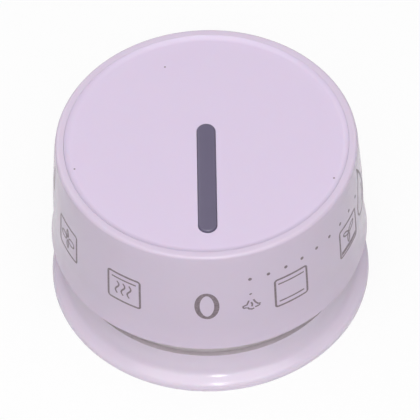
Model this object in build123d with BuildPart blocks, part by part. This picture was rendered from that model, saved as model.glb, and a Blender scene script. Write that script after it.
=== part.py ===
from build123d import *
import os
from math import cos, radians, sin

# An oven control knob standing on its base collar, in millimetres.
# Z is the turning axis, Z = 0 is the panel that the collar stands on, and the pointer
# shows towards -Y. The collar stands still; the drum above it turns on the shaft.

os.makedirs("parts", exist_ok=True)

# Driving dimensions of the drum
skirt_radius = 23.0  # outer edge of the flared skirt
skirt_height = 9.7  # skirt edge above the panel
drum_height = 18.55  # skirt edge to the top of the rim
skirt_flare = 0.5  # waist, where the flare ends, inside the skirt's edge
waist_rise = 4.2  # skirt edge to the waist
belly_taper = 0.23  # belly of the bulged taper inside the waist
belly_rise = 5.0  # waist to the belly
rim_taper = 0.94  # outer size at rim height inside the waist
rim_round = 1.0  # rounding of the rim's outer edge
rim_inner_round = 0.2
rim_width = 1.26  # rim band around the face disc
wall = 1.6  # moulded wall of the drum
skirt_lip = 1.2  # land at the skirt's lower edge
web_thickness = 1.8  # floor under the face disc

# Face disc and pointer
face_sink = 0.38  # face below the top of the rim
face_thickness = 1.5
disc_gap = 0.05  # fit of the disc in the rim, all round
disc_edge_round = 0.15
peg_count = 4
peg_inset = 3.6  # middle of the pegs inside the hub's seat ring
peg_radius = 1.2
peg_head_radius = 1.9
peg_head_height = 0.7
peg_head_taper = 20.0  # degrees
peg_gap = 0.1
pointer_margin = 3.65  # edge of the face to the pointer's front end
pointer_tail = 3.5  # axis to the pointer's back end
pointer_width = 2.8
pointer_proud = 0.35  # how far the bar stands out of the face
pointer_round = 0.3
pointer_gap = 0.05
pointer_foot_border = 0.8  # the foot is wider than the bar by this, all round
pointer_foot_thickness = 0.8
foot_gap = 0.1

# Base collar
collar_overhang = 0.35  # lip of the base past the skirt's edge
collar_lip_round = 0.5
skirt_clearance = 4.3  # top of the cove to the skirt's edge
cove_shoulder = 0.6  # neck to the top of the cove
shoulder_rise = 0.5
neck_gap = 0.9  # neck inside the drum's bore at the waist
neck_cover = 2.9  # how far the neck stands up inside the skirt
neck_wall = 1.4
collar_wall = 1.6  # web and bearing sleeve
collar_web_rise = 2.0  # top of the cove to the top of the web
collar_rib_count = 6
collar_rib_thickness = 1.2
collar_rib_foot = 1.5  # ribs stop this far above the panel
foot_land = 1.95  # foot of the cove to the gasket's groove
gasket_width = 2.1
gasket_thickness = 1.3
gasket_gap = 0.05
bearing_foot = 3.15  # ledge that the snap fingers catch under
bearing_length = 10.85
running_gap = 0.1  # radial running fit of the hub in the collar
end_float = 0.15  # axial play of the turning part, each way

# Glide washer
washer_thickness = 0.8
washer_inner_clearance = 0.3
washer_width = 1.9

# Hub core
shaft_radius = 3.0  # the switch shaft is a 6 mm D shaft
shaft_flat_depth = 1.45
socket_mouth = 5.0
socket_depth = 14.5
socket_lead = 4.5  # round mouth for the shaft's root, below the D
lead_gap = 0.1  # the mouth is wider than the D by this, all round
boss_wall = 2.8
slit_width = 1.0
slit_height = 9.0
sleeve_space = 3.6  # boss to the bore of the sleeve
sleeve_wall = 1.6
finger_tip = 1.4  # lowest point of the snap fingers
barb_reach = 0.8  # barbs stand out past the sleeve
barb_land = 0.5  # upright edge of a barb
finger_slot = 3.0
finger_slot_height = 8.0
finger_count = 4
hub_disc_thickness = 1.8
hub_ring_gap = 0.56  # seat ring inside the drum's wall at the web
hub_ring_width = 1.8
hub_ring_height = 1.4
thrust_width = 2.4  # thrust shoulder above the glide washer
inner_rib_count = 8
outer_rib_count = 12
rib_thickness = 1.2
inner_rib_height = 9.0
outer_rib_height = 3.0
key_count = 3
key_width = 2.2
key_depth = 1.0
key_gap = 0.1
snap_bead_count = 6
snap_bead_angle = 16.0
snap_bead_height = 1.2
snap_bead_catch = 0.35

# Boss clip
clip_thickness = 0.5
clip_width = 4.0
clip_rise = 2.0  # mouth of the socket to the clip
clip_opening = 50.0  # degrees left open
clip_seat_depth = 0.6

# Heights that follow from them
rim_top = skirt_height + drum_height
face_top = rim_top - face_sink
web_top = face_top - face_thickness
web_foot = web_top - web_thickness
hub_disc_top = web_foot - hub_ring_height
hub_disc_foot = hub_disc_top - hub_disc_thickness
cove_height = skirt_height - skirt_clearance
collar_web_top = cove_height + collar_web_rise
collar_web_foot = collar_web_top - collar_wall
bearing_top = bearing_foot + bearing_length
washer_top = bearing_top + washer_thickness
thrust_foot = washer_top + end_float
barb_top = bearing_foot - end_float
waist_height = skirt_height + waist_rise
belly_height = waist_height + belly_rise
clip_foot = socket_mouth + clip_rise
flat_foot = socket_mouth + socket_lead

# Radii that follow from them
waist_radius = skirt_radius - skirt_flare
belly_radius = waist_radius - belly_taper
rim_radius = waist_radius - rim_taper
face_radius = rim_radius - rim_width
inner_waist_radius = waist_radius - wall
inner_web_radius = rim_radius - wall
hub_ring_radius = inner_web_radius - hub_ring_gap
hub_ring_bore = hub_ring_radius - hub_ring_width
peg_circle = hub_ring_bore - peg_inset
boss_radius = shaft_radius + boss_wall
finger_bore = boss_radius + sleeve_space
sleeve_radius = finger_bore + sleeve_wall
barb_radius = sleeve_radius + barb_reach
thrust_radius = sleeve_radius + thrust_width
clip_radius = boss_radius - clip_seat_depth
collar_bore = sleeve_radius + running_gap
bearing_radius = collar_bore + collar_wall
neck_radius = inner_waist_radius - neck_gap
neck_bore = neck_radius - neck_wall
cove_top_radius = neck_radius + cove_shoulder
collar_lip_radius = skirt_radius + collar_overhang
cove_foot_radius = collar_lip_radius - collar_lip_round
groove_radius = cove_foot_radius - foot_land
foot_bore = groove_radius - gasket_width

# The pointer's place
pointer_reach = face_radius - pointer_margin
pointer_length = pointer_reach + pointer_tail
pointer_centre = pointer_length / 2 - pointer_reach


# Drum: rim, bulged taper, flared skirt and the web under the face, as one revolved section
with BuildPart() as knob_shell:
    with BuildSketch(Plane.XZ) as drum_section:
        with BuildLine():
            rim_corner = (rim_radius, rim_top)
            waist = (waist_radius, waist_height)
            skirt_edge = (skirt_radius, skirt_height)
            side = ThreePointArc(rim_corner, (belly_radius, belly_height), waist)
            TangentArc(waist, skirt_edge, tangent=side % 1)
            Polyline(
                skirt_edge,
                (skirt_radius - skirt_lip, skirt_height),
                (inner_waist_radius, waist_height),
                (inner_web_radius, web_foot),
                (0, web_foot),
                (0, web_top),
                (face_radius, web_top),
                (face_radius, rim_top),
                rim_corner,
            )
        make_face()
        rim_corners = drum_section.vertices().group_by(Axis.Y)[-1].sort_by(Axis.X)
        fillet(rim_corners[-1], rim_round)
        fillet(rim_corners[0], rim_inner_round)
    revolve(axis=Axis.Z)
    # Holes for the pegs of the face disc
    with Locations(Plane.XY.offset(web_top)):
        with PolarLocations(peg_circle, peg_count, start_angle=180 / peg_count):
            Hole(peg_radius + peg_gap, web_thickness)
    # Keys that carry the torque into the hub, fused to wall and web
    with BuildSketch(Plane.XY.offset(hub_disc_foot)):
        key_root = inner_waist_radius
        key_tip = hub_ring_radius - key_depth
        with PolarLocations((key_root + key_tip) / 2, key_count, start_angle=90):
            Rectangle(key_root - key_tip, key_width)
    extrude(until=Until.NEXT)
    # Wedge-shaped beads that the hub snaps over
    with BuildSketch(Plane.XZ):
        with BuildLine():
            bead_tip = hub_ring_radius - snap_bead_catch
            Polyline(
                (bead_tip, hub_disc_foot),
                (inner_waist_radius, hub_disc_foot),
                (inner_waist_radius, hub_disc_foot - snap_bead_height),
                close=True,
            )
        make_face()
    bead = revolve(axis=Axis.Z, revolution_arc=snap_bead_angle, mode=Mode.PRIVATE)
    with PolarLocations(0, snap_bead_count, start_angle=90 + 180 / snap_bead_count):
        add(bead.rotate(Axis.Z, -snap_bead_angle / 2))
knob_shell.part.label = "knob_shell"

# Face disc with its pointer slot and the four riveted pegs
with BuildPart() as face_disc:
    disc_radius = face_radius - disc_gap
    with BuildSketch(Plane.XY.offset(web_top)):
        Circle(disc_radius)
    extrude(amount=face_thickness)
    fillet(face_disc.edges().group_by(Axis.Z)[-1], disc_edge_round)
    with BuildSketch(Plane.XY.offset(web_top)):
        with Locations((0, pointer_centre)):
            SlotOverall(
                pointer_length + 2 * pointer_gap, pointer_width + 2 * pointer_gap, rotation=90
            )
    extrude(amount=face_thickness, mode=Mode.SUBTRACT)
    with BuildSketch(Plane.XY.offset(web_top)):
        with Locations((0, pointer_centre)):
            foot_border = 2 * (pointer_foot_border + foot_gap)
            SlotOverall(pointer_length + foot_border, pointer_width + foot_border, rotation=90)
    extrude(amount=pointer_foot_thickness, mode=Mode.SUBTRACT)
    with BuildSketch(Plane.XY.offset(web_top)):
        with PolarLocations(peg_circle, peg_count, start_angle=180 / peg_count):
            Circle(peg_radius)
    extrude(amount=-web_thickness)
    with BuildSketch(Plane.XY.offset(web_foot)):
        with PolarLocations(peg_circle, peg_count, start_angle=180 / peg_count):
            Circle(peg_head_radius)
    extrude(amount=-peg_head_height, taper=peg_head_taper)
face_disc.part.label = "face_disc"

# Pointer: a bar with a wider foot that the face disc holds down
with BuildPart() as pointer_bar:
    with BuildSketch(Plane.XY.offset(web_top)):
        with Locations((0, pointer_centre)):
            foot_extra = 2 * pointer_foot_border
            SlotOverall(pointer_length + foot_extra, pointer_width + foot_extra, rotation=90)
    extrude(amount=pointer_foot_thickness)
    with BuildSketch(Plane.XY.offset(web_top)):
        with Locations((0, pointer_centre)):
            SlotOverall(pointer_length, pointer_width, rotation=90)
    extrude(amount=face_thickness + pointer_proud)
    fillet(pointer_bar.edges().group_by(Axis.Z)[-1], pointer_round)
pointer_bar.part.label = "pointer_bar"

# Base collar: coved foot, neck, web and bearing sleeve as one revolved section
with BuildPart() as collar_ring:
    with BuildSketch(Plane.XZ):
        with BuildLine():
            lip_foot = (cove_foot_radius, 0)
            lip_top = (cove_foot_radius, 2 * collar_lip_round)
            ThreePointArc(lip_foot, (collar_lip_radius, collar_lip_round), lip_top)
            cove_top = (cove_top_radius, cove_height)
            EllipticalCenterArc(
                (cove_foot_radius, cove_height),
                cove_foot_radius - cove_top_radius,
                cove_height - 2 * collar_lip_round,
                start_angle=180,
                arc_size=90,
            )
            Polyline(
                cove_top,
                (neck_radius, cove_height + shoulder_rise),
                (neck_radius, skirt_height + neck_cover),
                (neck_bore, skirt_height + neck_cover),
                (neck_bore, collar_web_top),
                (bearing_radius, collar_web_top),
                (bearing_radius, bearing_top),
                (collar_bore, bearing_top),
                (collar_bore, bearing_foot),
                (bearing_radius, bearing_foot),
                (bearing_radius, collar_web_foot),
                (foot_bore, collar_web_foot),
                (foot_bore, gasket_thickness),
                (groove_radius, gasket_thickness),
                (groove_radius, 0),
                lip_foot,
            )
        make_face()
    revolve(axis=Axis.Z)
    # Ribs under the web
    with BuildSketch(Plane.XY.offset(collar_rib_foot)):
        rib_root = bearing_radius - collar_wall / 2
        rib_end = foot_bore + collar_wall / 2
        with PolarLocations((rib_root + rib_end) / 2, collar_rib_count):
            Rectangle(rib_end - rib_root, collar_rib_thickness)
    extrude(amount=collar_web_foot - collar_rib_foot)
collar_ring.part.label = "collar_ring"

# Gasket under the collar, flush with the foot
with BuildPart() as collar_gasket:
    with BuildSketch():
        Circle(groove_radius - gasket_gap)
        Circle(foot_bore + gasket_gap, mode=Mode.SUBTRACT)
    extrude(amount=gasket_thickness)
collar_gasket.part.label = "collar_gasket"

# Glide washer on top of the bearing sleeve
with BuildPart() as glide_washer:
    washer_bore = sleeve_radius + washer_inner_clearance
    with BuildSketch(Plane.XY.offset(bearing_top)):
        Circle(washer_bore + washer_width)
        Circle(washer_bore, mode=Mode.SUBTRACT)
    extrude(amount=washer_thickness)
glide_washer.part.label = "glide_washer"

# Hub core: socket boss, bearing sleeve with snap fingers, ribbed disc and seat ring
with BuildPart() as hub_core:
    with BuildSketch(Plane.XZ):
        with BuildLine():
            Polyline(
                (0, socket_mouth),
                (boss_radius, socket_mouth),
                (boss_radius, hub_disc_foot),
                (finger_bore, hub_disc_foot),
                (finger_bore, finger_tip),
                (sleeve_radius, finger_tip),
                (barb_radius, barb_top - barb_land),
                (barb_radius, barb_top),
                (sleeve_radius, barb_top),
                (sleeve_radius, thrust_foot),
                (thrust_radius, thrust_foot),
                (thrust_radius, hub_disc_foot),
                (hub_ring_radius, hub_disc_foot),
                (hub_ring_radius, web_foot),
                (hub_ring_bore, web_foot),
                (hub_ring_bore, hub_disc_top),
                (0, hub_disc_top),
                close=True,
            )
        make_face()
    revolve(axis=Axis.Z)
    # Ribs between boss and sleeve, and under the disc outside the sleeve
    with BuildSketch(Plane.XY.offset(hub_disc_foot)):
        inner_rib_length = sleeve_radius - boss_radius
        with PolarLocations((sleeve_radius + boss_radius) / 2 - sleeve_wall / 2, inner_rib_count):
            Rectangle(inner_rib_length, rib_thickness)
    extrude(amount=-inner_rib_height)
    with BuildSketch(Plane.XY.offset(hub_disc_foot)):
        outer_rib_root = thrust_radius - rib_thickness
        with PolarLocations((outer_rib_root + hub_ring_bore) / 2, outer_rib_count):
            Rectangle(hub_ring_bore - outer_rib_root, rib_thickness)
    extrude(amount=-outer_rib_height)
    # Socket, round at the mouth and D-shaped above it, blind at its upper end
    with BuildSketch(Plane.XY.offset(socket_mouth)):
        Circle(shaft_radius + lead_gap)
    extrude(amount=socket_lead, mode=Mode.SUBTRACT)
    with BuildSketch(Plane.XY.offset(flat_foot)):
        Circle(shaft_radius)
        with Locations((0, shaft_radius - shaft_flat_depth)):
            Rectangle(
                2 * shaft_radius,
                2 * shaft_radius,
                align=(Align.CENTER, Align.MIN),
                mode=Mode.SUBTRACT,
            )
    extrude(amount=socket_depth - socket_lead, mode=Mode.SUBTRACT)
    # Seat for the clip, and the slits that let it close the socket on the shaft
    with BuildSketch(Plane.XY.offset(clip_foot)):
        Circle(boss_radius)
        Circle(clip_radius, mode=Mode.SUBTRACT)
    extrude(amount=clip_width, mode=Mode.SUBTRACT)
    with BuildSketch(Plane.XY.offset(socket_mouth)):
        Rectangle(2 * boss_radius, slit_width)
    extrude(amount=slit_height, mode=Mode.SUBTRACT)
    # Slots that part the sleeve's end into fingers
    with BuildSketch(Plane.XY.offset(finger_tip)):
        with PolarLocations(sleeve_radius, finger_count, start_angle=180 / finger_count):
            Rectangle(2 * (sleeve_wall + barb_reach), finger_slot)
    extrude(amount=finger_slot_height, mode=Mode.SUBTRACT)
    # Notches for the keys of the drum
    with BuildSketch(Plane.XY.offset(hub_disc_foot)):
        notch_depth = key_depth + key_gap
        with PolarLocations(hub_ring_radius, key_count, start_angle=90):
            Rectangle(2 * notch_depth, key_width + 2 * key_gap)
    extrude(amount=web_foot - hub_disc_foot, mode=Mode.SUBTRACT)
hub_core.part.label = "hub_core"

# Spring band round the boss, open on one side
with BuildPart() as boss_clip:
    with BuildSketch(Plane.XY.offset(clip_foot)):
        half_opening = radians(clip_opening / 2)
        reach = 2 * boss_radius
        Circle(clip_radius + clip_thickness)
        Circle(clip_radius, mode=Mode.SUBTRACT)
        with BuildLine():
            Polyline(
                (0, 0),
                (reach * sin(half_opening), -reach * cos(half_opening)),
                (-reach * sin(half_opening), -reach * cos(half_opening)),
                close=True,
            )
        make_face(mode=Mode.SUBTRACT)
    extrude(amount=clip_width)
boss_clip.part.label = "boss_clip"

export_step(knob_shell.part, "parts/knob_shell.step")
export_step(face_disc.part, "parts/face_disc.step")
export_step(pointer_bar.part, "parts/pointer_bar.step")
export_step(collar_ring.part, "parts/collar_ring.step")
export_step(collar_gasket.part, "parts/collar_gasket.step")
export_step(glide_washer.part, "parts/glide_washer.step")
export_step(hub_core.part, "parts/hub_core.step")
export_step(boss_clip.part, "parts/boss_clip.step")
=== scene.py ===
from math import atan2, cos, hypot, pi, radians, sin, tan

import bpy
from mathutils import Matrix, Vector


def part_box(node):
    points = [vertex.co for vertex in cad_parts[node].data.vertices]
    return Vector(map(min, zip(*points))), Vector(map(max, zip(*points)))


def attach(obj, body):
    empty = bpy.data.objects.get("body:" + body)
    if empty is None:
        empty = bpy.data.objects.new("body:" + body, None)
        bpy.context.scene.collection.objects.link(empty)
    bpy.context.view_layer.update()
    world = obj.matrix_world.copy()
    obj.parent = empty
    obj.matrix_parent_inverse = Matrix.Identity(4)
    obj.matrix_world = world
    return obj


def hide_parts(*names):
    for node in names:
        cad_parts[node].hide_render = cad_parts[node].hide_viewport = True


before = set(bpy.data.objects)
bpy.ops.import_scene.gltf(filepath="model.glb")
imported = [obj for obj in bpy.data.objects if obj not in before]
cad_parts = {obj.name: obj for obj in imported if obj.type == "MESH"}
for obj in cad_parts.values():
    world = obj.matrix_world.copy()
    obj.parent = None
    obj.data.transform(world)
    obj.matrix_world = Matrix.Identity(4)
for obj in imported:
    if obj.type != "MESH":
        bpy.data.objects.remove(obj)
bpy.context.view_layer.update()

bl_info = {
    "name": "Oven control knob",
    "version": (1, 0, 0),
    "blender": (4, 5, 0),
    "location": "View3D > Sidebar > Knob",
    "description": "Dresses an oven control knob: drum, face, pointer, collar and printed signs",
    "category": "Object",
}

MM = 0.001
TURN_STEPS = 256  # faces once round a turned piece
MERGE = 0.002 * MM  # points closer than this are one point
HAIR = 0.01 * MM  # play for picking faces by their height
UP = Vector((0, 0, 1))
LAMP_REACH = 0.6  # metres from the knob's foot to each lamp
FLOOR_WIDTH = 4
FLOOR_DROP = 0.02 * MM  # so that the floor and the collar's underside don't share one plane

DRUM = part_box("knob_shell")
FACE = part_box("face_disc")
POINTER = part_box("pointer_bar")
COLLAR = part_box("collar_ring")
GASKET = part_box("collar_gasket")


def linear(code):
    """Turns an sRGB hex code into linear red, green and blue."""
    parts = [int(code[place:place + 2], 16) / 255 for place in (1, 3, 5)]
    return tuple(
        part / 12.92 if part <= 0.04045 else ((part + 0.055) / 1.055) ** 2.4 for part in parts
    )


def length(name, description, default):
    """A length in metres that a user may change."""
    return bpy.props.FloatProperty(
        name=name, description=description, default=default, unit="LENGTH", precision=5
    )


def angle(name, description, degrees_value):
    """An angle that a user may change."""
    return bpy.props.FloatProperty(
        name=name, description=description, default=radians(degrees_value), unit="ROTATION"
    )


def colour(name, description, code):
    """A colour that a user may change, given as an sRGB hex code."""
    return bpy.props.FloatVectorProperty(
        name=name, description=description, default=linear(code), subtype="COLOR", min=0, max=1
    )


class KnobSizes(bpy.types.PropertyGroup):
    """Sizes of the dressed pieces"""

    waist_radius: length("Waist radius", "Where the skirt's flare ends", 22.5 * MM)
    waist_rise: length("Waist rise", "Skirt edge to the waist", 4.2 * MM)
    belly_radius: length("Belly radius", "Middle of the bulged taper", 22.27 * MM)
    belly_rise: length("Belly rise", "Skirt edge to the belly", 9.2 * MM)
    rim_radius: length("Rim radius", "Taper at the height of the rim", 21.56 * MM)
    rim_round: length("Rim rounding", "Rounding of the rim's outer edge", 0.5 * MM)
    rim_inner_round: length("Inner rounding", "Rounding of the rim's bore", 0.06 * MM)
    wall: length("Wall", "Moulded wall of the drum", 1.6 * MM)
    skirt_lip: length("Skirt land", "Width of the skirt's lower edge", 1.2 * MM)
    web: length("Web", "Floor under the face disc", 1.8 * MM)
    face_thickness: length("Face thickness", "Thickness of the face disc", 1.5 * MM)
    face_bore: length("Face bore", "Bore of the rim round the face", 20.3 * MM)
    face_gap: length("Face gap", "Gap round the face disc in its bore", 0.02 * MM)
    dish_reach: length("Dish reach", "Width of the face disc's upturned edge", 0.95 * MM)
    dish_corner: length("Dish corner", "Edge to where the upturned slope would start", 0.5 * MM)
    dish_rise: length("Dish rise", "Height of the face disc's upturned edge", 0.35 * MM)
    pointer_border: length("Pointer foot border", "Foot of the bar, past the bar", 0.88 * MM)
    pointer_foot: length("Pointer foot", "Thickness of the bar's foot", 0.8 * MM)
    pointer_round: length("Pointer rounding", "Rounding of the bar's top edge", 0.3 * MM)
    pointer_gap: length("Pointer gap", "Gap round the bar in its slot", 0.05 * MM)
    foot_round: length("Foot rounding", "Rounding of the collar's lower edge", 0.2 * MM)
    lip_rise: length("Lip rise", "Where the lip's rounding starts", 0.58 * MM)
    lip_round: length("Lip rounding", "Width of the lip's rounding", 0.6 * MM)
    flange_rise: length("Flange rise", "Height of the flange at the lip", 1.32 * MM)
    flange_slope: angle("Flange slope", "Fall of the flange towards the lip", 28)
    cove_foot_radius: length("Cove foot", "Where cove and flange would meet", 21.04 * MM)
    cove_round: length("Cove rounding", "Reach of the hollow on the flange", 1.0 * MM)
    cove_top_radius: length("Cove top", "Radius at the top of the cove", 20.6 * MM)
    cove_height: length("Cove height", "Height of the cove's top", 4.95 * MM)
    neck_radius: length("Neck radius", "Neck that stands up in the drum", 20.0 * MM)
    neck_height: length("Neck height", "Top of the neck", 12.6 * MM)
    neck_wall: length("Neck wall", "Wall of the neck", 1.4 * MM)
    collar_wall: length("Collar wall", "Web and sleeve of the collar", 1.6 * MM)
    collar_web: length("Collar web", "Top of the collar's web", 7.4 * MM)
    bearing_bore: length("Bearing bore", "Radius of the collar's bearing", 11.1 * MM)
    bearing_foot: length("Bearing foot", "Lower end of the bearing", 3.15 * MM)
    foot_bore: length("Foot bore", "Inner radius of the collar's foot", 18.8 * MM)
    gasket_gap: length("Gasket gap", "Gap round the gasket in its groove", 0.05 * MM)
    rib: length("Rib", "Thickness of the collar's ribs", 1.2 * MM)
    rib_foot: length("Rib foot", "Lower edge of the collar's ribs", 1.5 * MM)
    ink_line: length("Ink line", "Width of the printed lines", 0.33 * MM)
    ink_film: length("Ink film", "Thickness of the printed film", 0.02 * MM)
    sign_width: length("Sign width", "Width of a printed frame", 5.28 * MM)
    sign_height: length("Sign height", "Height of a printed frame", 5.55 * MM)
    sign_corner: length("Sign corner", "Corner radius of a printed frame", 0.4 * MM)
    sign_rise: length("Sign rise", "Skirt edge to the middle of the signs", 8.7 * MM)
    zero_width: length("Zero width", "Middle line of the printed 0, across", 2.78 * MM)
    zero_height: length("Zero height", "Middle line of the printed 0, upright", 4.86 * MM)
    zero_line: length("Zero line", "Stroke of the printed 0 at its sides", 0.74 * MM)
    zero_thin: length("Zero thin line", "Stroke of the printed 0 above and below", 0.52 * MM)
    zero_turn: angle("0 turn", "Pointer to the printed 0", -1.1)
    grill_turn: angle("Grill turn", "Pointer to the grill sign", -33.0)
    fan_turn: angle("Fan turn", "Pointer to the fan sign", -64.4)
    base_heat_turn: angle("Base heat turn", "Pointer to the base heat sign", -97.5)
    both_heats_turn: angle("Both heats turn", "Pointer to the sign with two bars", 31.3)
    hot_fan_turn: angle("Hot fan turn", "Pointer to the fan sign with base heat", 63.7)
    top_heat_turn: angle("Top heat turn", "Pointer to the top heat sign", 97.5)
    light_turn: angle("Light turn", "Pointer to the light sign", 15.1)
    drop_turn: angle("Drop turn", "Pointer to the drop", 80.0)
    end_mark_turn: angle("End mark turn", "Pointer to the scale's end mark", -82.6)
    dot: length("Dot", "Width of a scale dot", 0.56 * MM)
    dot_rise: length("Dot rise", "Skirt edge to the row of dots", 13.41 * MM)
    dot_first: angle("First dot", "Pointer to the first dot", 15.03)
    dot_step: angle("Dot step", "From dot to dot", 7.15)
    speck: length("Speck", "Width of a dark speck in the face", 0.28 * MM)


class KnobColours(bpy.types.PropertyGroup):
    """Colours of the dressed pieces"""

    drum: colour("Drum", "Moulded white of the drum", "#DFD0E5")
    face: colour("Face", "Moulded white of the face", "#E2D2EB")
    collar: colour("Collar", "Moulded white of the collar", "#F0E3F5")
    # painted shade: this darker, greyer white on the neck and land stands for the skirt's shadow
    neck: colour("Neck", "Painted shade of the skirt's shadow on the collar's neck", "#E4DBDF")
    pointer: colour("Pointer", "Grey of the pointer", "#69627A")
    ink: colour("Ink", "Mauve brown of the print", "#8A7A84")
    speck: colour("Speck", "Dark specks in the face", "#8C8088")
    hub: colour("Hub", "Grey of the hub", "#5B5C60")
    washer: colour("Washer", "Natural white of the washer", "#E6E4DC")
    gasket: colour("Gasket", "Grey of the gasket", "#8E8F92")
    steel: colour("Steel", "Spring steel", "#B9B6AE")
    floor: colour("Floor", "Pale floor", "#FFFFFF")


def deselect_all():
    """Leaves nothing selected, in object mode."""
    if bpy.context.object and bpy.context.object.mode != "OBJECT":
        end_edit()
    bpy.ops.object.select_all(action="DESELECT")


def select_only(piece):
    """Makes one piece the only selected and the active one."""
    deselect_all()
    piece.select_set(True)
    bpy.context.view_layer.objects.active = piece


def start_piece(name):
    """Names the primitive that was just added and its mesh."""
    piece = bpy.context.object
    piece.name = name
    piece.data.name = name
    return piece


def edit_all(piece, kind="VERT"):
    """Enters edit mode on one piece with everything selected."""
    select_only(piece)
    bpy.ops.object.mode_set(mode="EDIT")
    bpy.ops.mesh.select_mode(type=kind)
    bpy.ops.mesh.select_all(action="SELECT")


def end_edit():
    """Goes back to object mode."""
    bpy.ops.object.mode_set(mode="OBJECT")


def set_place(piece):
    """Bakes a piece's place, turn and scale into its mesh."""
    select_only(piece)
    bpy.ops.object.transform_apply(location=True, rotation=True, scale=True)


def apply_modifier(piece, kind, **settings):
    """Adds one modifier with its settings and applies it."""
    select_only(piece)
    modifier = piece.modifiers.new(kind.title(), kind)
    for key, value in settings.items():
        setattr(modifier, key, value)
    bpy.ops.object.modifier_apply(modifier=modifier.name)


def smooth(piece, degrees_value=32):
    """Shades a piece smooth, with its edges sharper than the angle kept."""
    select_only(piece)
    bpy.ops.object.shade_smooth_by_angle(angle=radians(degrees_value))


def join(pieces, name):
    """Joins pieces into one mesh."""
    deselect_all()
    for piece in pieces:
        piece.select_set(True)
    bpy.context.view_layer.objects.active = pieces[0]
    bpy.ops.object.join()
    return start_piece(name)


def copy_round(piece, count):
    """Copies a piece evenly round the Z axis and joins the copies."""
    copies = [piece]
    for number in range(1, count):
        select_only(piece)
        bpy.ops.object.duplicate()
        turn = 2 * pi * number / count
        bpy.ops.transform.rotate(value=turn, orient_axis="Z", center_override=(0, 0, 0))
        copies.append(bpy.context.object)
        set_place(copies[-1])
    return join(copies, piece.name)


def cut(piece, cutter, operation="DIFFERENCE"):
    """Cuts or fuses one mesh with another, which is then deleted."""
    apply_modifier(piece, "BOOLEAN", object=cutter, operation=operation, solver="MANIFOLD")
    bpy.data.objects.remove(cutter)


def select_faces(piece, keep):
    """Selects in edit mode only the faces for which keep(centre, normal) is true."""
    edit_all(piece, "FACE")
    bpy.ops.mesh.select_all(action="DESELECT")
    end_edit()
    for face in piece.data.polygons:
        face.select = keep(face.center, face.normal)
    bpy.ops.object.mode_set(mode="EDIT")


def arc_points(first, middle, last, steps):
    """Points on the circle through three (radius, height) points, both ends included."""
    (ax, ay), (bx, by), (cx, cy) = first, middle, last
    scale = 2 * (ax * (by - cy) + bx * (cy - ay) + cx * (ay - by))
    squares = [x * x + y * y for x, y in (first, middle, last)]
    ux = (squares[0] * (by - cy) + squares[1] * (cy - ay) + squares[2] * (ay - by)) / scale
    uy = (squares[0] * (cx - bx) + squares[1] * (ax - cx) + squares[2] * (bx - ax)) / scale
    reach = hypot(ax - ux, ay - uy)
    start = atan2(ay - uy, ax - ux)
    sweep = (atan2(cy - uy, cx - ux) - start + pi) % (2 * pi) - pi
    turns = [start + sweep * step / steps for step in range(steps + 1)]
    return [(ux + reach * cos(turn), uy + reach * sin(turn)) for turn in turns]


def tangent_arc_points(first, before, last, steps):
    """Points on the arc that leaves first as a line from before would, and ends at last."""
    run = Vector(first) - Vector(before)
    run.normalize()
    chord = Vector(last) - Vector(first)
    side = Vector((-run.y, run.x))
    reach = chord.length_squared / (2 * chord.dot(side))
    centre = Vector(first) + side * reach
    middle = (Vector(first) + Vector(last)) / 2 - centre
    on_arc = centre + middle.normalized() * abs(reach)
    return arc_points(first, tuple(on_arc), last, steps)


def corner_points(corner, reach, start_degrees, steps=6):
    """A quarter round that replaces a square corner of a profile, turning clockwise.

    The corner is the square one, and start_degrees is where the quarter begins as
    seen from the rounding's centre.
    """
    turns = [radians(start_degrees) - pi / 2 * step / steps for step in range(steps + 1)]
    middle = turns[0] - pi / 4
    outward = Vector((1 if cos(middle) > 0 else -1, 1 if sin(middle) > 0 else -1))
    centre = Vector(corner) - reach * outward
    return [(centre.x + reach * cos(turn), centre.y + reach * sin(turn)) for turn in turns]


def bend(first, corner, last, steps=8):
    """Points on the smooth curve that starts and ends along the two lines through a corner."""
    points = []
    for step in range(steps + 1):
        share = step / steps
        before = Vector(first).lerp(Vector(corner), share)
        after = Vector(corner).lerp(Vector(last), share)
        points.append(tuple(before.lerp(after, share)))
    return points


def turn_profile(name, profile):
    """Spins a closed profile of (radius, height) points once round the Z axis."""
    deselect_all()
    bpy.ops.mesh.primitive_plane_add(size=MM)
    piece = start_piece(name)
    edit_all(piece)
    bpy.ops.mesh.merge(type="CENTER")
    bpy.ops.transform.translate(value=(profile[0][0], 0, profile[0][1]))
    for (radius, height), (next_radius, next_height) in zip(profile, profile[1:]):
        step = (next_radius - radius, 0, next_height - height)
        bpy.ops.mesh.extrude_region_move(TRANSFORM_OT_translate={"value": step})
    bpy.ops.mesh.select_all(action="SELECT")
    bpy.ops.mesh.spin(steps=TURN_STEPS, angle=2 * pi, center=(0, 0, 0), axis=(0, 0, 1))
    bpy.ops.mesh.select_all(action="SELECT")
    bpy.ops.mesh.remove_doubles(threshold=MERGE)
    bpy.ops.mesh.normals_make_consistent(inside=False)
    end_edit()
    return piece


def side_profile(sizes):
    """The drum's outer side, from the rim's rounding down to the skirt's edge."""
    skirt = DRUM[0][2]
    rim = (sizes.rim_radius, DRUM[1][2])
    belly = (sizes.belly_radius, skirt + sizes.belly_rise)
    waist = (sizes.waist_radius, skirt + sizes.waist_rise)
    taper = arc_points(rim, belly, waist, 30)
    flare = tangent_arc_points(waist, taper[-2], (DRUM[1][0], skirt), 12)
    below_round = [point for point in taper if point[1] < rim[1] - sizes.rim_round]
    return below_round + flare[1:]


def side_radius(side, height):
    """Radius of the drum's side at a height."""
    for (upper_radius, upper), (lower_radius, lower) in zip(side, side[1:]):
        if lower <= height <= upper:
            share = (height - lower) / (upper - lower)
            return lower_radius + share * (upper_radius - lower_radius)
    raise RuntimeError("that height isn't on the drum's side")


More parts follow.
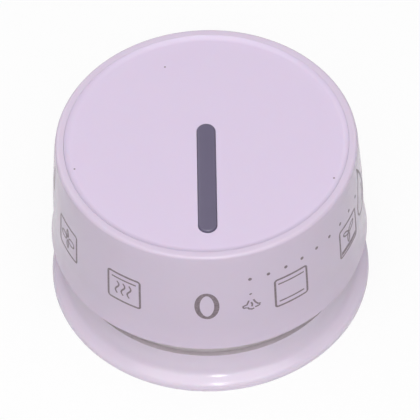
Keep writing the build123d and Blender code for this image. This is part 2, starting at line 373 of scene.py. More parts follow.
def add_node(tree, kind, settings=None, links=None):
    """Adds a shader node, sets its fields and sockets, and links its inputs."""
    node = tree.nodes.new(kind)
    for key, value in (settings or {}).items():
        if hasattr(node, str(key)):
            setattr(node, key, value)
        else:
            node.inputs[key].default_value = value
    for key, socket in (links or {}).items():
        tree.links.new(socket, node.inputs[key])
    return node


def start_material(name):
    """A new material with an empty node tree."""
    material = bpy.data.materials.new(name)
    material.use_nodes = True
    material.node_tree.nodes.clear()
    return material, material.node_tree


def end_material(tree, surface):
    """Links a shader to the material's output."""
    add_node(tree, "ShaderNodeOutputMaterial", {}, {"Surface": surface.outputs[0]})


def four(rgb, factor=1.0):
    """A colour socket's value, brightened or darkened by a factor."""
    return tuple(min(1.0, part * factor) for part in rgb) + (1.0,)


def surface_noise(tree, size, detail=2.0):
    """A noise whose grains are about one size across, in metres."""
    place = add_node(tree, "ShaderNodeTexCoord")
    settings = {"Scale": 1 / size, "Detail": detail}
    return add_node(tree, "ShaderNodeTexNoise", settings, {"Vector": place.outputs["Object"]})


def mottled(tree, noise, rgb, spread):
    """A colour that drifts a little up and down with a noise."""
    ramp = add_node(tree, "ShaderNodeValToRGB", {}, {"Fac": noise.outputs["Fac"]})
    ramp.color_ramp.elements[0].position = 0.2
    ramp.color_ramp.elements[0].color = four(rgb, 1 - spread)
    ramp.color_ramp.elements[1].position = 0.8
    ramp.color_ramp.elements[1].color = four(rgb, 1 + spread)
    return ramp.outputs["Color"]


def gloss_abs(name, rgb, roughness=0.18):
    """Injection moulded ABS from a polished tool.

    The eye sees a bright, fairly sharp gloss over a milky body. The wall sinks and
    flows a little as it cools, so the gloss waves over a few millimetres, and there
    is a fine orange peel, drawn 0.5 mm wide so that it can show.
    """
    material, tree = start_material(name)
    flow = surface_noise(tree, 6 * MM)
    peel = surface_noise(tree, 0.5 * MM)
    wave = add_node(
        tree, "ShaderNodeBump", {"Strength": 0.1, "Distance": 0.03 * MM},
        {"Height": flow.outputs["Fac"]},
    )
    skin = add_node(
        tree, "ShaderNodeBump", {"Strength": 0.12, "Distance": 0.004 * MM},
        {"Height": peel.outputs["Fac"], "Normal": wave.outputs["Normal"]},
    )
    shine = add_node(
        tree, "ShaderNodeMapRange", {"To Min": roughness - 0.02, "To Max": roughness + 0.02},
        {"Value": flow.outputs["Fac"]},
    )
    surface = add_node(
        tree, "ShaderNodeBsdfPrincipled",
        {"IOR": 1.48, "Subsurface Weight": 0.08, "Subsurface Scale": 0.6 * MM},
        {
            "Base Color": mottled(tree, flow, rgb, 0.003),
            "Roughness": shine.outputs["Result"],
            "Normal": skin.outputs["Normal"],
        },
    )
    end_material(tree, surface)
    return material


def satin_abs(name, rgb):
    """Grey tinted ABS from a finely eroded tool.

    The spark erosion leaves an even grain of about 0.1 mm, drawn at 0.2 mm, and a
    soft satin shine with no sharp reflection.
    """
    material, tree = start_material(name)
    grain = surface_noise(tree, 0.2 * MM, 3)
    drift = surface_noise(tree, 3 * MM)
    skin = add_node(
        tree, "ShaderNodeBump", {"Strength": 0.3, "Distance": 0.008 * MM},
        {"Height": grain.outputs["Fac"]},
    )
    surface = add_node(
        tree, "ShaderNodeBsdfPrincipled", {"IOR": 1.52, "Roughness": 0.34},
        {"Base Color": mottled(tree, drift, rgb, 0.03), "Normal": skin.outputs["Normal"]},
    )
    end_material(tree, surface)
    return material


def pad_ink(name, rgb):
    """Pad printed two-part ink.

    The pad leaves the film thinner in places, so the tone is uneven and speckled at
    about a quarter of a millimetre, and the ink is duller than the plastic under it.
    """
    material, tree = start_material(name)
    speckle = surface_noise(tree, 0.3 * MM, 4)
    surface = add_node(
        tree, "ShaderNodeBsdfPrincipled", {"IOR": 1.5, "Roughness": 0.45},
        {"Base Color": mottled(tree, speckle, rgb, 0.3)},
    )
    end_material(tree, surface)
    return material


def filled_pbt(name, rgb):
    """Moulded PBT with glass fibre, for heat.

    The fibres float up and leave the grey skin dull, with pale streaks about a
    millimetre and a half long.
    """
    material, tree = start_material(name)
    place = add_node(tree, "ShaderNodeTexCoord")
    drawn = add_node(
        tree, "ShaderNodeMapping", {"Scale": (1.0, 1.0, 0.25)}, {"Vector": place.outputs["Object"]}
    )
    fibre = add_node(
        tree, "ShaderNodeTexNoise", {"Scale": 1 / (0.4 * MM), "Detail": 4.0},
        {"Vector": drawn.outputs["Vector"]},
    )
    skin = add_node(
        tree, "ShaderNodeBump", {"Strength": 0.3, "Distance": 0.02 * MM},
        {"Height": fibre.outputs["Fac"]},
    )
    surface = add_node(
        tree, "ShaderNodeBsdfPrincipled", {"IOR": 1.55, "Roughness": 0.5},
        {"Base Color": mottled(tree, fibre, rgb, 0.12), "Normal": skin.outputs["Normal"]},
    )
    end_material(tree, surface)
    return material


def painted_shade_abs(name, rgb):
    """Moulded ABS in a darker, less blue white, laid on as painted shade.

    The colour stands for the skirt's shadow on the collar's neck and land. The shine is
    dull and slightly streaky, with streaks of about 0.8 mm.
    """
    material, tree = start_material(name)
    streak = surface_noise(tree, 0.8 * MM)
    surface = add_node(
        tree, "ShaderNodeBsdfPrincipled", {"IOR": 1.47, "Roughness": 0.5},
        {"Base Color": mottled(tree, streak, rgb, 0.03)},
    )
    end_material(tree, surface)
    return material


def waxy_pom(name, rgb):
    """Stamped acetal sheet: milky and waxy, with faint cutting waves."""
    material, tree = start_material(name)
    drift = surface_noise(tree, 1.2 * MM)
    surface = add_node(
        tree, "ShaderNodeBsdfPrincipled",
        {"IOR": 1.48, "Roughness": 0.38, "Subsurface Weight": 0.15, "Subsurface Scale": 0.5 * MM},
        {"Base Color": mottled(tree, drift, rgb, 0.02)},
    )
    end_material(tree, surface)
    return material


def silicone(name, rgb):
    """Moulded silicone rubber: matt, with talc dust in a 0.3 mm grain."""
    material, tree = start_material(name)
    dust = surface_noise(tree, 0.3 * MM, 4)
    skin = add_node(
        tree, "ShaderNodeBump", {"Strength": 0.4, "Distance": 0.02 * MM},
        {"Height": dust.outputs["Fac"]},
    )
    surface = add_node(
        tree, "ShaderNodeBsdfPrincipled", {"IOR": 1.42, "Roughness": 0.72},
        {"Base Color": mottled(tree, dust, rgb, 0.08), "Normal": skin.outputs["Normal"]},
    )
    end_material(tree, surface)
    return material


def rolled_steel(name, rgb):
    """Cold rolled spring steel strip: bright, with rolling lines 0.15 mm apart."""
    material, tree = start_material(name)
    place = add_node(tree, "ShaderNodeTexCoord")
    drawn = add_node(
        tree, "ShaderNodeMapping", {"Scale": (0.05, 0.05, 1.0)}, {"Vector": place.outputs["Object"]}
    )
    lines = add_node(
        tree, "ShaderNodeTexNoise", {"Scale": 1 / (0.15 * MM), "Detail": 3.0},
        {"Vector": drawn.outputs["Vector"]},
    )
    shine = add_node(
        tree, "ShaderNodeMapRange", {"To Min": 0.24, "To Max": 0.4}, {"Value": lines.outputs["Fac"]}
    )
    surface = add_node(
        tree, "ShaderNodeBsdfPrincipled", {"Metallic": 1.0, "Base Color": four(rgb)},
        {"Roughness": shine.outputs["Result"]},
    )
    end_material(tree, surface)
    return material


def dress(piece, body, slot, material, *nodes):
    """Gives a piece its material and body, and hides the CAD nodes it stands for; the slot is not
    used.
    """
    piece.data.materials.clear()
    piece.data.materials.append(material)
    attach(piece, body)
    if nodes:
        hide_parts(*nodes)


def stadium(name, middle_y, half_length, half_width, height):
    """A flat bar with round ends along Y, as one face at a height."""
    deselect_all()
    bpy.ops.mesh.primitive_plane_add(size=2, location=(0, middle_y, height))
    piece = start_piece(name)
    piece.scale = (half_width, half_length, 1)
    set_place(piece)
    edit_all(piece)
    nearly_half = half_width * 0.9999  # the two rounds of an end may not quite touch
    bpy.ops.mesh.bevel(offset=nearly_half, segments=24, affect="VERTICES")
    bpy.ops.mesh.remove_doubles(threshold=MERGE)
    end_edit()
    return piece


def close_up():
    """Turns every normal of the piece in edit mode outward, and leaves edit mode."""
    bpy.ops.mesh.select_all(action="SELECT")
    bpy.ops.mesh.normals_make_consistent(inside=False)
    end_edit()


def raise_faces(distance):
    """Extrudes the selected faces straight up, or down for a negative distance."""
    bpy.ops.mesh.extrude_region_move(TRANSFORM_OT_translate={"value": (0, 0, distance)})


def stadium_block(name, middle_y, half_length, half_width, low, high):
    """A closed block with a stadium outline."""
    piece = stadium(name, middle_y, half_length, half_width, low)
    edit_all(piece, "FACE")
    raise_faces(high - low)
    close_up()
    return piece


def pointer_middle():
    """Middle of the pointer along Y."""
    return (POINTER[0][1] + POINTER[1][1]) / 2


class MakeDrum(bpy.types.Operator):
    """Turns the white drum with its rounded rim and flared skirt"""

    bl_idname = "knob.make_drum"
    bl_label = "Drum"

    def execute(self, context):
        sizes, colours = context.scene.knob_sizes, context.scene.knob_colours
        side = side_profile(sizes)
        rim_top = DRUM[1][2]
        web_top = FACE[1][2] - sizes.face_thickness
        web_foot = web_top - sizes.web
        skirt = DRUM[0][2]
        inner_round = corner_points((sizes.face_bore, rim_top), sizes.rim_inner_round, 180)
        outer_round = corner_points((sizes.rim_radius, rim_top), sizes.rim_round, 90, 12)
        profile = [(0, web_top), (sizes.face_bore, web_top)]
        profile += inner_round + outer_round + side
        profile += [
            (DRUM[1][0] - sizes.skirt_lip, skirt),
            (sizes.waist_radius - sizes.wall, skirt + sizes.waist_rise),
            (sizes.rim_radius - sizes.wall, web_foot),
            (0, web_foot),
        ]
        piece = turn_profile("drum", profile)
        smooth(piece)
        finish = gloss_abs("gloss_abs_drum", colours.drum)
        dress(piece, "knob", "drum_plastic", finish, "knob_shell")
        return {"FINISHED"}


class MakeFace(bpy.types.Operator):
    """Makes the sunk face disc with its upturned edge and the slot for the pointer"""

    bl_idname = "knob.make_face"
    bl_label = "Face"

    def execute(self, context):
        sizes, colours = context.scene.knob_sizes, context.scene.knob_colours
        top = FACE[1][2]
        low = top - sizes.face_thickness
        edge = sizes.face_bore - sizes.face_gap
        corner = (edge - sizes.dish_corner, top)
        dish = bend((edge, top + sizes.dish_rise), corner, (edge - sizes.dish_reach, top))
        profile = [(0, low), (edge, low)] + dish + [(0, top)]
        piece = turn_profile("face_plate", profile)
        middle = pointer_middle()
        half_foot = (POINTER[1][1] - POINTER[0][1]) / 2
        half_length = half_foot - sizes.pointer_border + sizes.pointer_gap
        half_width = POINTER[1][0] - sizes.pointer_border + sizes.pointer_gap
        slot = stadium_block("slot", middle, half_length, half_width, low - MM, top + MM)
        cut(piece, slot)
        seat_gap = 2 * sizes.pointer_gap
        seat = stadium_block(
            "seat", middle, half_foot + seat_gap, POINTER[1][0] + seat_gap,
            low - MM, low + sizes.pointer_foot,
        )
        cut(piece, seat)
        smooth(piece)
        finish = gloss_abs("gloss_abs_face", colours.face, roughness=0.26)
        dress(piece, "knob", "face_plastic", finish, "face_disc")
        return {"FINISHED"}


class MakePointer(bpy.types.Operator):
    """Makes the grey pointer bar on its wider foot"""

    bl_idname = "knob.make_pointer"
    bl_label = "Pointer"

    def execute(self, context):
        sizes, colours = context.scene.knob_sizes, context.scene.knob_colours
        low, top = POINTER[0][2], POINTER[1][2]
        half_foot = (POINTER[1][1] - POINTER[0][1]) / 2
        piece = stadium("pointer", pointer_middle(), half_foot, POINTER[1][0], low)
        edit_all(piece, "FACE")
        raise_faces(sizes.pointer_foot)
        bpy.ops.mesh.inset(thickness=sizes.pointer_border)
        raise_faces(top - low - sizes.pointer_foot)
        close_up()
        select_faces(piece, lambda centre, normal: centre.z > top - HAIR and normal.z > 0.9)
        bpy.ops.mesh.region_to_loop()
        bpy.ops.mesh.bevel(offset=sizes.pointer_round, segments=6, affect="EDGES")
        end_edit()
        smooth(piece)
        finish = satin_abs("satin_abs_pointer", colours.pointer)
        dress(piece, "knob", "pointer_plastic", finish, "pointer_bar")
        return {"FINISHED"}


class MakeCollar(bpy.types.Operator):
    """Turns the coved base collar and adds the ribs under its web"""

    bl_idname = "knob.make_collar"
    bl_label = "Collar"

    def execute(self, context):
        sizes, colours = context.scene.knob_sizes, context.scene.knob_colours
        lip = COLLAR[1][0]
        flange_edge = lip - sizes.lip_round
        foot = lip - sizes.foot_round

        def on_flange(radius):
            return (radius, sizes.flange_rise + (flange_edge - radius) * tan(sizes.flange_slope))

        hollow = Vector(on_flange(sizes.cove_foot_radius))
        cove_top = Vector((sizes.cove_top_radius, sizes.cove_height))
        hollow_end = hollow.lerp(cove_top, 0.65)  # from here up the cove is straight
        profile = bend((foot, 0), (lip, 0), (lip, sizes.foot_round), 4)
        profile += bend((lip, sizes.lip_rise), on_flange(lip), on_flange(flange_edge))
        profile += bend(on_flange(hollow.x + sizes.cove_round), hollow, hollow_end, 14)
        profile.append(tuple(cove_top))
        neck_bore = sizes.neck_radius - sizes.neck_wall
        sleeve = sizes.bearing_bore + sizes.collar_wall
        web_foot = sizes.collar_web - sizes.collar_wall
        groove = GASKET[1][2]
        gasket_edge = GASKET[1][0] + sizes.gasket_gap
        profile += [
            (sizes.neck_radius, sizes.cove_height),
            (sizes.neck_radius, sizes.neck_height),
            (neck_bore, sizes.neck_height),
            (neck_bore, sizes.collar_web),
            (sleeve, sizes.collar_web),
            (sleeve, COLLAR[1][2]),
            (sizes.bearing_bore, COLLAR[1][2]),
            (sizes.bearing_bore, sizes.bearing_foot),
            (sleeve, sizes.bearing_foot),
            (sleeve, web_foot),
            (sizes.foot_bore, web_foot),
            (sizes.foot_bore, groove),
            (gasket_edge, groove),
            (gasket_edge, 0),
            (foot, 0),
        ]
        piece = turn_profile("collar", profile)
        half_wall = sizes.collar_wall / 2  # the ribs reach this far into what they join
        inner, outer = sleeve - half_wall, sizes.foot_bore + half_wall
        height = web_foot - sizes.rib_foot + half_wall
        deselect_all()
        bpy.ops.mesh.primitive_cube_add(
            size=1, location=((inner + outer) / 2, 0, sizes.rib_foot + height / 2)
        )
        rib = start_piece("rib")
        rib.scale = (outer - inner, sizes.rib, height)
        set_place(rib)
        cut(piece, copy_round(rib, count=6), "UNION")
        smooth(piece)
        finish = gloss_abs("gloss_abs_collar", colours.collar, roughness=0.12)
        dress(piece, "collar", "collar_plastic", finish, "collar_ring")
        # painted shade: the neck and the land at the cove's top get a darker, greyer white for the
        # skirt's shadow on them
        piece.data.materials.append(painted_shade_abs("abs_painted_shade_neck", colours.neck))
        land = sizes.cove_height - HAIR
        neck_middle = sizes.neck_radius - sizes.neck_wall / 2
        select_faces(
            piece, lambda centre, normal: centre.z > land and centre.xy.length > neck_middle
        )
        piece.active_material_index = 1
        bpy.ops.object.material_slot_assign()
        end_edit()
        return {"FINISHED"}


def rounded_frame(width, height, corner, steps=5):
    """Points of a closed rectangle with rounded corners, round its middle."""
    points = []
    places = ((1, 1, 0), (-1, 1, 90), (-1, -1, 180), (1, -1, 270))
    for across, up, start in places:
        centre = (across * (width / 2 - corner), up * (height / 2 - corner))
        for step in range(steps + 1):
            turn = radians(start + 90 * step / steps)
            points.append((centre[0] + corner * cos(turn), centre[1] + corner * sin(turn)))
    return points + points[:1]


def straight(first, last, steps=10):
    """Points of a straight line, close enough together to be wrapped round the drum."""
    return [
        tuple(a + (b - a) * step / steps for a, b in zip(first, last))
        for step in range(steps + 1)
    ]


def wave(middle, top, low, swing):
    """Points of one upright heat wave."""
    shares = [step / 16 for step in range(17)]
    return [
        (middle + swing * sin(2 * pi * share), top + (low - top) * share) for share in shares
    ]


def loop_points(centre, half_width, half_height, tilt=0.0, steps=28):
    """Points of a closed, tilted ellipse."""
    points = []
    for step in range(steps + 1):
        turn = 2 * pi * step / steps
        x, y = half_width * cos(turn), half_height * sin(turn)
        points.append(
            (centre[0] + x * cos(tilt) - y * sin(tilt), centre[1] + x * sin(tilt) + y * cos(tilt))
        )
    return points


def refine(points, longest):
    """Splits long runs of a path so that it can be wrapped."""
    fine = [points[0]]
    for first, last in zip(points, points[1:]):
        steps = max(1, round(hypot(last[0] - first[0], last[1] - first[1]) / longest))
        fine += straight(first, last, steps)[1:]
    return fine


class Ink:
    """Lays flat ink shapes onto the drum's side"""

    def __init__(self, sizes):
        self.sizes = sizes
        self.side = side_profile(sizes)
        self.sign_height = DRUM[0][2] + sizes.sign_rise
        self.print_radius = side_radius(self.side, self.sign_height)

    def wrap(self, piece, turn, height):
        """Bends a flat piece in X and Y round the drum, centred at a turn and a height."""
        for vertex in piece.data.vertices:
            z = height + vertex.co.y
            reach = side_radius(self.side, z) - self.sizes.ink_film / 4
            around = turn + vertex.co.x / self.print_radius
            vertex.co = (reach * sin(around), -reach * cos(around), z)

    def line(self, path, width, width_across=None):
        """A flat ribbon along a path, with its own width where it runs across."""
        width_across = width_across or width
        path = refine(path, 0.3 * MM)
        closed = hypot(path[0][0] - path[-1][0], path[0][1] - path[-1][1]) < 0.001 * MM
        deselect_all()
        bpy.ops.mesh.primitive_grid_add(x_subdivisions=len(path) - 1, y_subdivisions=1, size=MM)
        piece = start_piece("ink")
        count = len(path)
        for place, point in enumerate(path):
            before = path[place - 1] if place else (path[-2] if closed else point)
            after = path[place + 1] if place < count - 1 else (path[1] if closed else point)
            run = Vector((after[0] - before[0], after[1] - before[1])).normalized()
            share = run.x ** 2
            side = Vector((-run.y, run.x)) * (width * (1 - share) + width_across * share) / 2
            left, right = piece.data.vertices[place], piece.data.vertices[count + place]
            left.co = (point[0] + side.x, point[1] + side.y, 0)
            right.co = (point[0] - side.x, point[1] - side.y, 0)
        edit_all(piece)
        bpy.ops.mesh.remove_doubles(threshold=MERGE)
        bpy.ops.mesh.normals_make_consistent(inside=False)
        end_edit()
        if piece.data.polygons[0].normal.z < 0:
            edit_all(piece)
            bpy.ops.mesh.flip_normals()
            end_edit()
        return piece

    def dot(self, centre, width):
        """A flat round dot."""
        deselect_all()
        bpy.ops.mesh.primitive_circle_add(vertices=16, radius=width / 2, fill_type="TRIFAN")
        piece = start_piece("ink")
        piece.location = (centre[0], centre[1], 0)
        set_place(piece)
        return piece

    def lay(self, name, shapes, turn, height):
        """Joins flat shapes, wraps them and gives the film its thickness."""
        piece = join(shapes, name)
        self.wrap(piece, turn, height)
        apply_modifier(piece, "SOLIDIFY", thickness=self.sizes.ink_film, offset=1.0)
        return piece


def sign_frame(ink, sizes):
    """The frame that stands for the oven in each sign."""
    outline = rounded_frame(sizes.sign_width, sizes.sign_height, sizes.sign_corner)
    return ink.line(outline, sizes.ink_line)


def leaf(ink, centre, turn_degrees, near, far, half_width, width):
    """One leaf-shaped fan blade, drawn in outline from near to far of the fan's centre."""
    turn = radians(turn_degrees)
    reach = (near + far) / 2
    middle = (centre[0] + reach * cos(turn), centre[1] + reach * sin(turn))
    return ink.line(loop_points(middle, (far - near) / 2, half_width, turn), width)


def in_mm(*points):
    """Points given in millimetres, as points in metres."""
    return [(x * MM, y * MM) for x, y in points]


class PrintSigns(bpy.types.Operator):
    """Prints the 0, the framed function signs, the light and drop signs and the scale"""

    bl_idname = "knob.print_signs"
    bl_label = "Signs"

    def execute(self, context):
        sizes = context.scene.knob_sizes
        ink = Ink(sizes)
        self.material = pad_ink("pad_ink_print", context.scene.knob_colours.ink)
        line, thin = sizes.ink_line, sizes.ink_line * 0.8
        half_height = sizes.sign_height / 2
        zero = loop_points((0, 0), sizes.zero_width / 2, sizes.zero_height / 2, 0.0, 48)
        zero_ring = ink.line(zero, sizes.zero_line, sizes.zero_thin)
        self.print_on(ink, "print_zero", sizes.zero_turn, 0.13 * MM, [zero_ring])

        def bar(rise, reach, width=thin):
            return ink.line(straight((-reach, rise), (reach, rise)), width)

        bar_margin = 0.96 * MM  # from the middle of a frame's line to a bar
        top_bar, low_bar = half_height - bar_margin, bar_margin - half_height
        grill = [sign_frame(ink, sizes), bar(top_bar, 2.02 * MM)]
        for middle in (-1.1, -0.1, 0.9):
            heat = wave(middle * MM, 1.12 * MM, -1.43 * MM, 0.3 * MM)
            grill.append(ink.line(heat, thin))
        self.print_on(ink, "print_grill", sizes.grill_turn, 0, grill)
        fan = [sign_frame(ink, sizes)]
        for turn_degrees, half_width in ((0, 0.6), (90, 0.24), (180, 0.6), (270, 0.24)):
            fan.append(leaf(ink, (0, 0), turn_degrees, 0.35 * MM, 1.9 * MM, half_width * MM, thin))
        self.print_on(ink, "print_fan", sizes.fan_turn, 0.5 * MM, fan)
        both = [sign_frame(ink, sizes), bar(top_bar, 2.15 * MM), bar(low_bar, 2.05 * MM)]
        self.print_on(ink, "print_top_and_base_heat", sizes.both_heats_turn, 0, both)
        hot_fan = [sign_frame(ink, sizes), bar(0.75 * MM - half_height, 2.3 * MM, line * 2)]
        for turn_degrees, far, half_width in ((150, 1.7, 0.36), (30, 2.0, 0.42), (270, 1.9, 0.3)):
            centre = (-0.1 * MM, 0.53 * MM)
            blade = leaf(ink, centre, turn_degrees, 0.1 * MM, far * MM, half_width * MM, thin)
            hot_fan.append(blade)
        self.print_on(ink, "print_fan_and_base_heat", sizes.hot_fan_turn, 0.25 * MM, hot_fan)
        base_heat = [sign_frame(ink, sizes), bar(low_bar, 2.05 * MM)]
        self.print_on(ink, "print_base_heat", sizes.base_heat_turn, 0, base_heat)
        top_heat = [sign_frame(ink, sizes), bar(top_bar, 2.05 * MM)]
        self.print_on(ink, "print_top_heat", sizes.top_heat_turn, 0, top_heat)
        lamp = [
            ink.line(in_mm((-1.3, 0), (-0.9, 0.22), (-0.65, 0.25), (-0.33, 1.08)), thin),
            ink.line(in_mm((-1.25, -0.05), (-1.06, -0.36), (-0.7, -0.3)), thin),
            ink.line(in_mm((-0.57, -0.3), (-0.33, -0.68), (0.08, -0.84), (0.41, -0.7)), thin),
            ink.line(in_mm((0, 0.66), (0.16, 0.2), (0.08, -0.27)), thin),
            ink.line(in_mm((0.33, 1.15), (0.65, 0.45), (0.98, 0.05), (1.39, -0.02)), thin),
            ink.line(in_mm((1.3, -0.25), (0.9, -0.45), (0.53, -0.5)), thin),
            ink.line(in_mm((-0.2, 2.3), (0.15, 2.48)), thin),
        ]
        self.print_on(ink, "print_light", sizes.light_turn, -0.73 * MM, lamp)
        drop = [
            ink.line(in_mm(
                (-1.05, 6.7), (-0.72, 5.3), (-1.0, 3.9), (-1.55, 2.3), (-2.3, -0.4), (-2.2, -1.7),
                (-1.35, -2.7), (0, -3.0), (1.35, -2.5), (2.25, -0.9), (2.05, 1.1), (1.15, 3.2),
                (0, 5.2), (-1.05, 6.7),
            ), line),
            ink.line(in_mm((0.6, 1.9), (1.25, 0.5), (1.15, -0.8), (0.3, -1.5)), line),
        ]
        self.print_on(ink, "print_drop", sizes.drop_turn, 1.6 * MM, drop)
        rise = sizes.dot_rise - sizes.sign_rise
        end_mark = [ink.line(in_mm((0, -1.3), (0.1, 1.4), (0, 3.4)), sizes.dot)]
        self.print_on(ink, "print_end_mark", sizes.end_mark_turn, rise, end_mark)
        steps = [sizes.dot_step * number * ink.print_radius for number in range(9)]
        dots = [ink.dot((around, 0), sizes.dot) for around in steps]
        self.print_on(ink, "print_dots", sizes.dot_first, rise, dots)
        return {"FINISHED"}

    def print_on(self, ink, name, turn, rise, shapes):
        """Prints shapes at a turn from the pointer and a rise over the signs' middle line."""
        piece = ink.lay(name, shapes, turn, ink.sign_height + rise)
        dress(piece, "knob", "drum_plastic", self.material)


class MarkFace(bpy.types.Operator):
    """Puts the three dark specks of the moulding into the face"""

    bl_idname = "knob.mark_face"
    bl_label = "Specks"

    def execute(self, context):
        sizes, colours = context.scene.knob_sizes, context.scene.knob_colours
        specks = []
        height = FACE[1][2] - sizes.ink_film / 4
        for x, y in in_mm((-18.71, -4.28), (17.92, -7.17), (-5.77, 14.62)):
            deselect_all()
            bpy.ops.mesh.primitive_circle_add(
                vertices=12, radius=sizes.speck / 2, fill_type="TRIFAN", location=(x, y, height)
            )
            specks.append(start_piece("speck"))
            set_place(specks[-1])
        piece = join(specks, "face_specks")
        apply_modifier(piece, "SOLIDIFY", thickness=sizes.ink_film, offset=1.0)
        dress(piece, "knob", "face_plastic", pad_ink("dark_speck", colours.speck))
        return {"FINISHED"}


class DressInside(bpy.types.Operator):
    """Gives the carried-over inner pieces their finishes"""

    bl_idname = "knob.dress_inside"
    bl_label = "Inside"

    def execute(self, context):
        colours = context.scene.knob_colours
        finishes = {
            "hub_core": filled_pbt("glass_filled_pbt_hub", colours.hub),
            "glide_washer": waxy_pom("stamped_acetal_washer", colours.washer),
            "collar_gasket": silicone("silicone_gasket", colours.gasket),
            "boss_clip": rolled_steel("rolled_spring_steel_clip", colours.steel),
        }
        for name, material in finishes.items():
            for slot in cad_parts[name].material_slots:
                slot.material = material
        return {"FINISHED"}


def aim(obj, place, target):
    """Puts a lamp at a place and turns it to a target."""
    obj.location = place
    obj.rotation_euler = (Vector(target) - Vector(place)).to_track_quat("-Z", "Y").to_euler()


def softbox(name, turn_degrees, rise_degrees, side, power):
    """A square soft lamp, turned from the front and raised from the floor, aimed at the drum.

    Its side is in metres and its power in watts.
    """
    turn, rise = radians(turn_degrees), radians(rise_degrees)
    middle = (DRUM[0][2] + DRUM[1][2]) / 2
    place = LAMP_REACH * Vector((sin(turn) * cos(rise), -cos(turn) * cos(rise), sin(rise)))
    deselect_all()
    bpy.ops.object.light_add(type="AREA")
    lamp = bpy.context.object
    lamp.name = name
    lamp.data.size = side
    lamp.data.energy = power
    aim(lamp, place, (0, 0, middle))


def seen_rays(tree, mirrored=0.3):
    """1 for camera and see-through rays, a share for mirror rays, 0 for what carries light."""
    rays = add_node(tree, "ShaderNodeLightPath")
    glossy = add_node(
        tree, "ShaderNodeMath", {"operation": "MULTIPLY", 1: mirrored},
        {0: rays.outputs["Is Glossy Ray"]},
    )
    first = add_node(
        tree, "ShaderNodeMath", {"operation": "MAXIMUM"},
        {0: rays.outputs["Is Camera Ray"], 1: glossy.outputs[0]},
    )
    return add_node(
        tree, "ShaderNodeMath", {"operation": "MAXIMUM"},
        {0: first.outputs[0], 1: rays.outputs["Is Transmission Ray"]},
    )


def floor_paper(name, rgb):
    """White background paper, kept white where it is seen, with the shadow left on it."""
    material, tree = start_material(name)
    paper = add_node(tree, "ShaderNodeBsdfDiffuse", {"Color": four(rgb, 0.93)})
    white = add_node(tree, "ShaderNodeEmission", {"Color": four(rgb), "Strength": 1.0})
    share = add_node(
        tree, "ShaderNodeMath", {"operation": "MULTIPLY", 1: 0.9},
        {0: seen_rays(tree).outputs[0]},
    )
    mix = add_node(
        tree, "ShaderNodeMixShader", {},
        {0: share.outputs[0], 1: paper.outputs[0], 2: white.outputs[0]},
    )
    end_material(tree, mix)
    return material


class MakeStage(bpy.types.Operator):
    """Makes the floor, the soft lamps, the white surroundings and the camera"""

    bl_idname = "knob.make_stage"
    bl_label = "Stage"

    def execute(self, context):
        scene = context.scene
        deselect_all()
        bpy.ops.mesh.primitive_plane_add(size=FLOOR_WIDTH, location=(0, 0, -FLOOR_DROP))
        floor = start_piece("floor")
        set_place(floor)
        floor.data.materials.append(floor_paper("white_paper_floor", scene.knob_colours.floor))
        softbox("lamp_above", turn_degrees=0, rise_degrees=76, side=0.7, power=3.05)
        softbox("lamp_front", turn_degrees=0, rise_degrees=58, side=0.6, power=0.72)
        softbox("lamp_key", turn_degrees=4, rise_degrees=61, side=0.05, power=0.23)
        softbox("lamp_by_camera", turn_degrees=3, rise_degrees=49.5, side=0.05, power=0.22)
        softbox("lamp_back_left", turn_degrees=-145, rise_degrees=40, side=0.35, power=0.45)
        softbox("lamp_back_right", turn_degrees=145, rise_degrees=40, side=0.35, power=0.17)
        world = bpy.data.worlds.new("white_room")
        scene.world = world
        world.use_nodes = True
        tree = world.node_tree
        tree.nodes.clear()
        shown = add_node(
            tree, "ShaderNodeBackground", {"Color": (1, 1, 1, 1)},
            {"Strength": seen_rays(tree).outputs[0]},
        )
        add_node(tree, "ShaderNodeOutputWorld", {}, {"Surface": shown.outputs[0]})
        place_camera(scene)
        scene.view_settings.view_transform = "Standard"
        return {"FINISHED"}


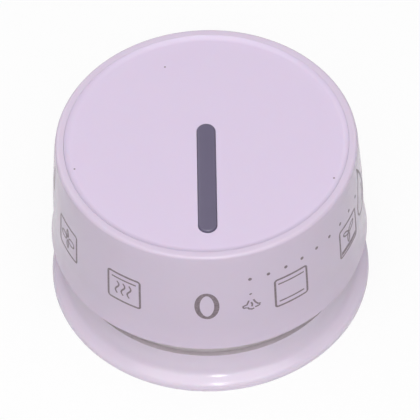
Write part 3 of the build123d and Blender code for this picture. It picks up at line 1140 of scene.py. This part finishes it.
def place_camera(scene):
    """Places the camera as the photograph's: about 51 degrees above the pointer's side."""
    frame_pixels = 420
    elevation = radians(50.56)
    orbit = radians(0.77)  # the knob stood turned by this in the photograph
    roll = radians(-2.05)
    distance = 24 * DRUM[1][0]
    focal_pixels = 3783.6
    middle_pixel = (209.13, 223.80)  # where the middle of the skirt's edge circle is seen
    target = Vector((0, 0, DRUM[0][2]))
    forward = Vector((-sin(orbit) * cos(elevation), cos(orbit) * cos(elevation), -sin(elevation)))
    right = forward.cross(UP).normalized()
    up = right.cross(forward)
    rolled_right = cos(roll) * right + sin(roll) * up
    rolled_up = cos(roll) * up - sin(roll) * right
    deselect_all()
    bpy.ops.object.camera_add()
    camera = bpy.context.object
    turn = Matrix((rolled_right, rolled_up, -forward)).transposed().to_4x4()
    camera.matrix_world = Matrix.Translation(target - forward * distance) @ turn
    camera.data.sensor_width = 36
    camera.data.lens = focal_pixels * camera.data.sensor_width / frame_pixels
    camera.data.shift_x = (frame_pixels / 2 - middle_pixel[0]) / frame_pixels
    camera.data.shift_y = (middle_pixel[1] - frame_pixels / 2) / frame_pixels
    camera.data.clip_start = 0.01
    camera.data.clip_end = 20
    scene.camera = camera


PIECES = (
    MakeDrum, MakeFace, MakePointer, MakeCollar, PrintSigns, MarkFace, DressInside, MakeStage,
)


class KnobPanel(bpy.types.Panel):
    """Lists the knob's pieces, sizes and colours"""

    bl_idname = "VIEW3D_PT_knob"
    bl_label = "Oven control knob"
    bl_space_type = "VIEW_3D"
    bl_region_type = "UI"
    bl_category = "Knob"

    def draw(self, context):
        for piece in PIECES:
            self.layout.operator(piece.bl_idname)
        for group in (context.scene.knob_sizes, context.scene.knob_colours):
            for name in group.__annotations__:
                self.layout.prop(group, name)


CLASSES = (KnobSizes, KnobColours) + PIECES + (KnobPanel,)


def register():
    """Adds the classes and their settings to Blender."""
    for kind in CLASSES:
        bpy.utils.register_class(kind)
    bpy.types.Scene.knob_sizes = bpy.props.PointerProperty(type=KnobSizes)
    bpy.types.Scene.knob_colours = bpy.props.PointerProperty(type=KnobColours)


def unregister():
    """Takes them out again."""
    del bpy.types.Scene.knob_colours
    del bpy.types.Scene.knob_sizes
    for kind in reversed(CLASSES):
        bpy.utils.unregister_class(kind)


def main():
    """Makes every piece in order."""
    register()
    bpy.ops.knob.make_drum()
    bpy.ops.knob.make_face()
    bpy.ops.knob.make_pointer()
    bpy.ops.knob.make_collar()
    bpy.ops.knob.print_signs()
    bpy.ops.knob.mark_face()
    bpy.ops.knob.dress_inside()
    bpy.ops.knob.make_stage()


if __name__ == "__main__":
    main()
